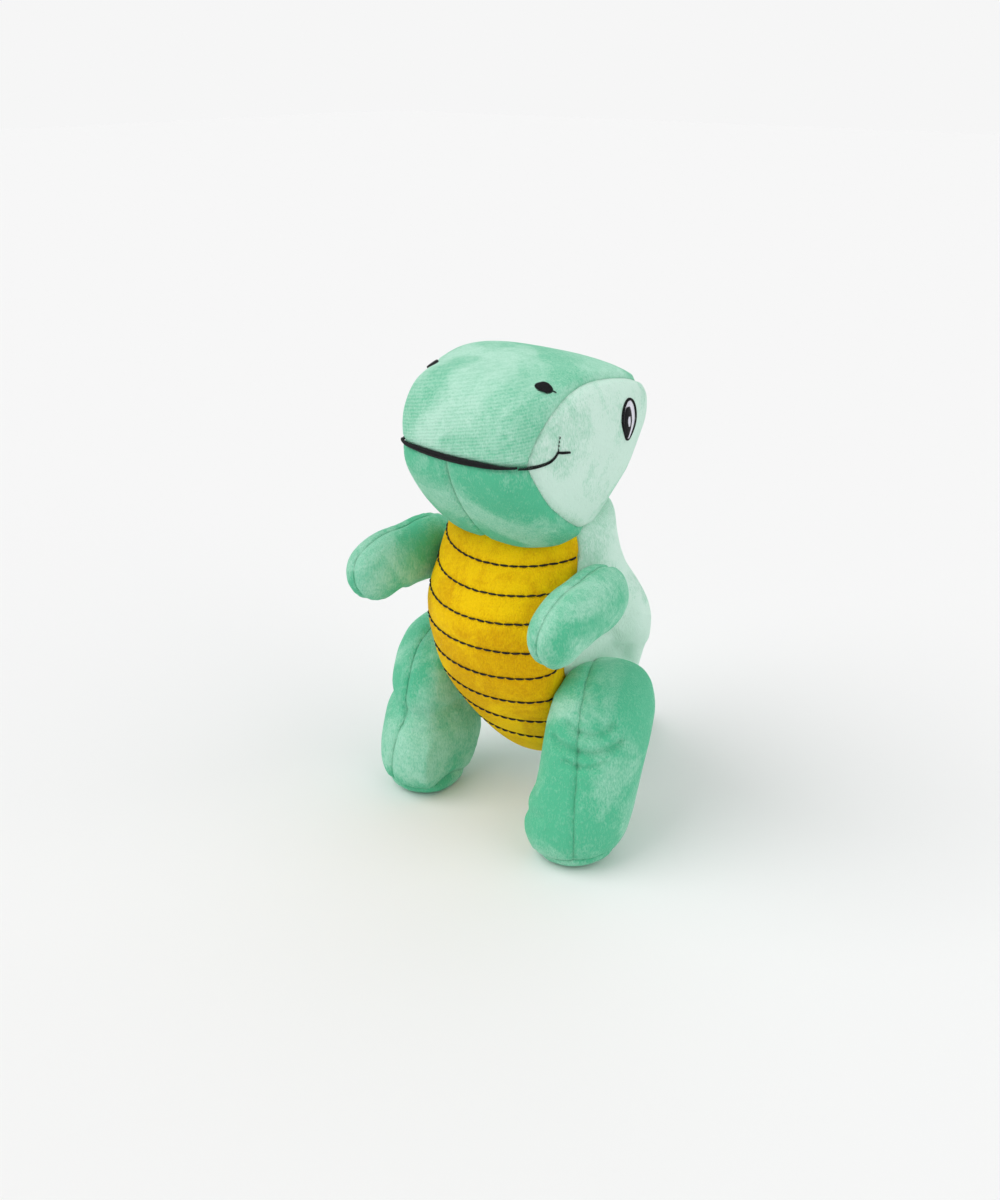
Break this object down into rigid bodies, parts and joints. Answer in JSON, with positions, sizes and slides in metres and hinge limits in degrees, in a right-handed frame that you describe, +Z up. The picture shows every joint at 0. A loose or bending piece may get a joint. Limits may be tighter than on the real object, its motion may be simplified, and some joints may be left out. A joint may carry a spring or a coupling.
{
  "type": "stuffed dinosaur",
  "caption": "Soft plush dinosaur that stands on two legs and a short tail, with a big boxy head, a stitched belly panel and limbs that swing at their seams.",
  "frame": {"origin": "on the floor, under the middle of the toy's box", "axes": "+Z up, the face looks towards -Y, +X is the dinosaur's own left"},
  "size_m": [0.16, 0.1826, 0.253],
  "materials": {
    "mint_pile": "matte",
    "belly_pile": "matte",
    "fibre_fill": "matte",
    "black_thread": "satin",
    "white_thread": "satin",
    "mint_thread": "satin"
  },
  "bodies": {
    "torso": {"torso_stuffing": "fibre_fill", "belly_panel": "belly_pile", "back_left_panel": "mint_pile", "back_right_panel": "mint_pile", "closing_stitch": "mint_thread", "belly_stitch_1": "black_thread", "belly_stitch_2": "black_thread", "belly_stitch_3": "black_thread", "belly_stitch_4": "black_thread", "belly_stitch_5": "black_thread", "belly_stitch_6": "black_thread", "belly_stitch_7": "black_thread", "belly_stitch_8": "black_thread"},
    "head": {"head_stuffing": "fibre_fill", "head_top_panel": "mint_pile", "cheek_left_panel": "mint_pile", "cheek_right_panel": "mint_pile", "jaw_left_panel": "mint_pile", "jaw_right_panel": "mint_pile", "mouth_line": "black_thread", "smile_left": "black_thread", "smile_right": "black_thread", "nostril_left": "black_thread", "nostril_right": "black_thread", "eye_left_outline": "black_thread", "eye_left_white": "white_thread", "eye_left_pupil": "black_thread", "eye_left_highlight": "white_thread", "eye_right_outline": "black_thread", "eye_right_white": "white_thread", "eye_right_pupil": "black_thread", "eye_right_highlight": "white_thread"},
    "arm_left": {"arm_left_stuffing": "fibre_fill", "arm_left_inner_panel": "mint_pile", "arm_left_outer_panel": "mint_pile"},
    "arm_right": {"arm_right_stuffing": "fibre_fill", "arm_right_inner_panel": "mint_pile", "arm_right_outer_panel": "mint_pile"},
    "leg_left": {"leg_left_stuffing": "fibre_fill", "leg_left_inner_panel": "mint_pile", "leg_left_outer_panel": "mint_pile", "leg_left_sole": "mint_pile"},
    "leg_right": {"leg_right_stuffing": "fibre_fill", "leg_right_inner_panel": "mint_pile", "leg_right_outer_panel": "mint_pile", "leg_right_sole": "mint_pile"},
    "tail": {"tail_stuffing": "fibre_fill", "tail_left_panel": "mint_pile", "tail_right_panel": "mint_pile"}
  },
  "joints": [
    {"name": "head_nod", "type": "hinge", "parent": "torso", "child": "head", "pos_m": [0, -0.01717, 0.165], "axis": [1, 0, 0], "range_deg": [-12, 6], "stiffness_Nm_per_rad": 1},
    {"name": "arm_left_swing", "type": "hinge", "parent": "torso", "child": "arm_left", "pos_m": [0.044, -0.03417, 0.14], "axis": [1, 0, 0], "range_deg": [-40, 30], "stiffness_Nm_per_rad": 0.3},
    {"name": "arm_right_swing", "type": "hinge", "parent": "torso", "child": "arm_right", "pos_m": [-0.044, -0.03417, 0.14], "axis": [1, 0, 0], "range_deg": [-40, 30], "stiffness_Nm_per_rad": 0.3},
    {"name": "leg_left_swing", "type": "hinge", "parent": "torso", "child": "leg_left", "pos_m": [0.036, -0.02817, 0.07], "axis": [1, 0, 0], "range_deg": [-20, 15], "stiffness_Nm_per_rad": 2},
    {"name": "leg_right_swing", "type": "hinge", "parent": "torso", "child": "leg_right", "pos_m": [-0.036, -0.02817, 0.07], "axis": [1, 0, 0], "range_deg": [-20, 15], "stiffness_Nm_per_rad": 2},
    {"name": "tail_wag", "type": "hinge", "parent": "torso", "child": "tail", "pos_m": [0, 0.03583, 0.05], "axis": [0, 0, 1], "range_deg": [-12, 12], "stiffness_Nm_per_rad": 1}
  ]
}
